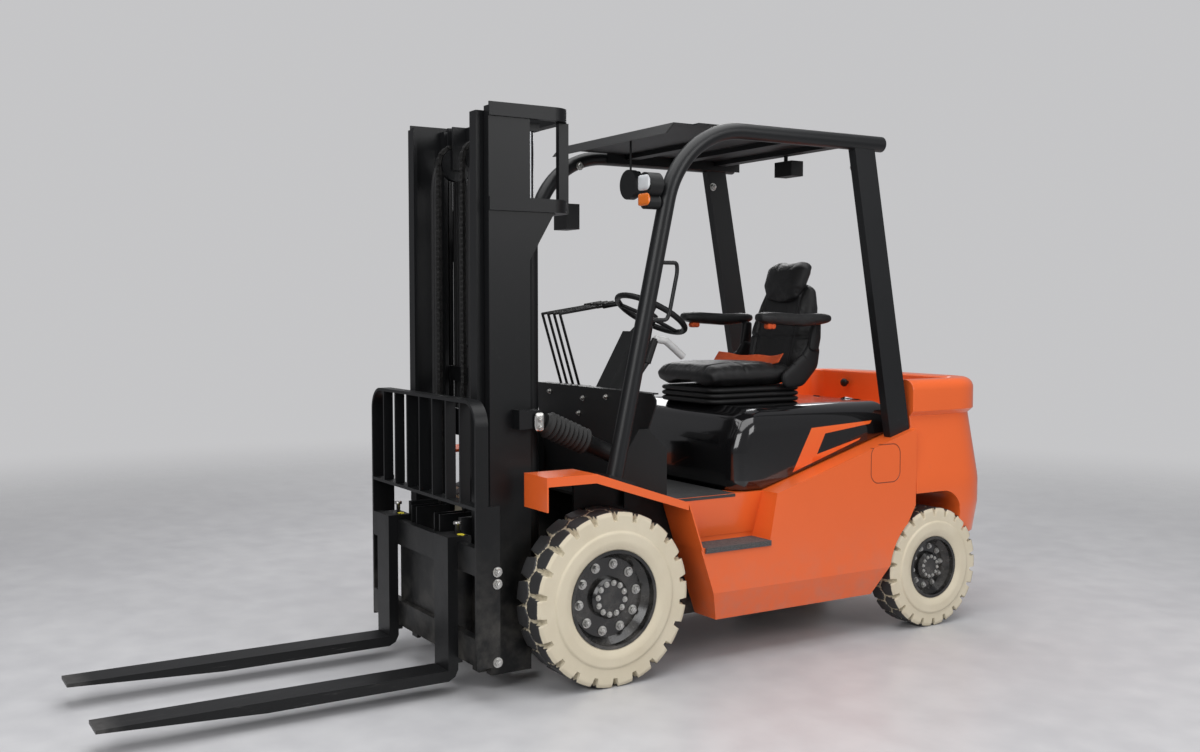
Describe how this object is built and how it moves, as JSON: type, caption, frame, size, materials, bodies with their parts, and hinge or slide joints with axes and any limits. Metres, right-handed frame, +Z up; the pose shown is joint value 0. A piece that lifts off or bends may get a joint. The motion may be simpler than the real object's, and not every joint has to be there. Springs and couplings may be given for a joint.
{
  "type": "electric counterbalance forklift",
  "caption": "Electric counterbalance forklift with a tilting two-stage mast, forks with load backrest, overhead guard, steered rear wheels and a seat on a hinged hood.",
  "frame": {"origin": "on the ground under the middle of the whole truck's box", "axes": "+Z up, forks point to -Y, +X is the driver's left"},
  "size_m": [1.182, 3.92, 2.185],
  "materials": {
    "orange_paint": "satin",
    "black_paint": "satin",
    "rim_paint": "gloss",
    "cream_tyre": "matte",
    "gloss_black": "gloss",
    "seat_vinyl": "satin",
    "black_plastic": "matte",
    "boot_rubber": "matte",
    "grey_mat": "matte",
    "rod_chrome": "polished",
    "chain_steel": "oiled",
    "battery_case": "matte"
  },
  "bodies": {
    "chassis": {"frame": "black_paint", "side_panel_left": "orange_paint", "side_panel_right": "orange_paint", "fenders": "orange_paint", "step_plates": "grey_mat", "floor_plate": "grey_mat", "cowl": "black_paint", "battery": "battery_case", "counterweight": "orange_paint", "guard_tubes": "black_paint", "guard_posts": "black_paint", "roof_panel": "black_paint", "steering_column": "black_plastic", "control_levers": "black_plastic", "brake_lever": "black_plastic", "grab_handle": "black_paint", "lamps": "black_plastic", "view_mirror": "black_plastic", "drive_axle": "black_paint", "steer_axle": "black_paint"},
    "hood_lid": {"hood": "gloss_black", "seat_base": "black_plastic", "seat_cushion": "seat_vinyl", "seat_back": "seat_vinyl", "armrests": "seat_vinyl"},
    "steering": {"steering_wheel": "black_plastic"},
    "steer_left": {"knuckle_left": "black_paint"},
    "steer_right": {"knuckle_right": "black_paint"},
    "wheel_front_left": {"front_tyre_left": "cream_tyre", "front_rim_left": "rim_paint"},
    "wheel_front_right": {"front_tyre_right": "cream_tyre", "front_rim_right": "rim_paint"},
    "wheel_rear_left": {"rear_tyre_left": "cream_tyre", "rear_rim_left": "rim_paint"},
    "wheel_rear_right": {"rear_tyre_right": "cream_tyre", "rear_rim_right": "rim_paint"},
    "tilt_barrel": {"tilt_barrels": "black_paint"},
    "tilt_rod": {"tilt_rods": "boot_rubber"},
    "outer_mast": {"outer_rails": "black_paint", "outer_crossmembers": "black_paint", "lift_barrels": "black_paint"},
    "inner_mast": {"inner_rails": "black_paint", "inner_crossmembers": "black_paint", "lift_rods": "rod_chrome", "chains": "chain_steel"},
    "carriage": {"carriage": "black_paint", "load_backrest": "black_paint", "forks": "black_paint"}
  },
  "joints": [
    {"name": "mast_tilt", "type": "hinge", "parent": "chassis", "child": "outer_mast", "pos_m": [0, -0.16, 0.334], "axis": [1, 0, 0], "range_deg": [-10, 6]},
    {"name": "mast_lift", "type": "slide", "parent": "outer_mast", "child": "inner_mast", "axis": [0, 0, 1], "range_m": [0, 1.5]},
    {"name": "carriage_lift", "type": "slide", "parent": "inner_mast", "child": "carriage", "axis": [0, 0, 1], "range_m": [0, 1.5]},
    {"name": "tilt_barrel_swing", "type": "hinge", "parent": "chassis", "child": "tilt_barrel", "pos_m": [0, 0.02, 0.825], "axis": [1, 0, 0], "range_deg": [-11.4, 6.9]},
    {"name": "tilt_rod_slide", "type": "slide", "parent": "tilt_barrel", "child": "tilt_rod", "axis": [0, -0.9111, 0.4122], "range_m": [-0.0905, 0.0545]},
    {"name": "wheel_spin_front_left", "type": "hinge", "parent": "chassis", "child": "wheel_front_left", "pos_m": [0.494, -0.16, 0.334], "axis": [1, 0, 0], "continuous": true},
    {"name": "wheel_spin_front_right", "type": "hinge", "parent": "chassis", "child": "wheel_front_right", "pos_m": [-0.494, -0.16, 0.334], "axis": [1, 0, 0], "continuous": true},
    {"name": "steer_left_turn", "type": "hinge", "parent": "chassis", "child": "steer_left", "pos_m": [0.4, 1.545, 0.2675], "axis": [0, 0, 1], "range_deg": [-60, 60]},
    {"name": "steer_right_turn", "type": "hinge", "parent": "chassis", "child": "steer_right", "pos_m": [-0.4, 1.545, 0.2675], "axis": [0, 0, 1], "range_deg": [-60, 60]},
    {"name": "wheel_spin_rear_left", "type": "hinge", "parent": "steer_left", "child": "wheel_rear_left", "pos_m": [0.496, 1.545, 0.2675], "axis": [1, 0, 0], "continuous": true},
    {"name": "wheel_spin_rear_right", "type": "hinge", "parent": "steer_right", "child": "wheel_rear_right", "pos_m": [-0.496, 1.545, 0.2675], "axis": [1, 0, 0], "continuous": true},
    {"name": "steering_wheel_turn", "type": "hinge", "parent": "chassis", "child": "steering", "pos_m": [0, 0.39, 1.405], "axis": [0, 0.5, 0.866], "continuous": true},
    {"name": "hood_hinge", "type": "hinge", "parent": "chassis", "child": "hood_lid", "pos_m": [0, 1.398, 0.905], "axis": [-1, 0, 0], "range_deg": [0, 40]}
  ],
  "couplings": [
    {"joint": "carriage_lift", "follows": "mast_lift", "ratio": 1},
    {"joint": "tilt_barrel_swing", "follows": "mast_tilt", "ratio": 1.13},
    {"joint": "tilt_rod_slide", "follows": "mast_tilt", "m_per_rad": 0.515},
    {"joint": "steer_right_turn", "follows": "steer_left_turn", "ratio": 1}
  ]
}
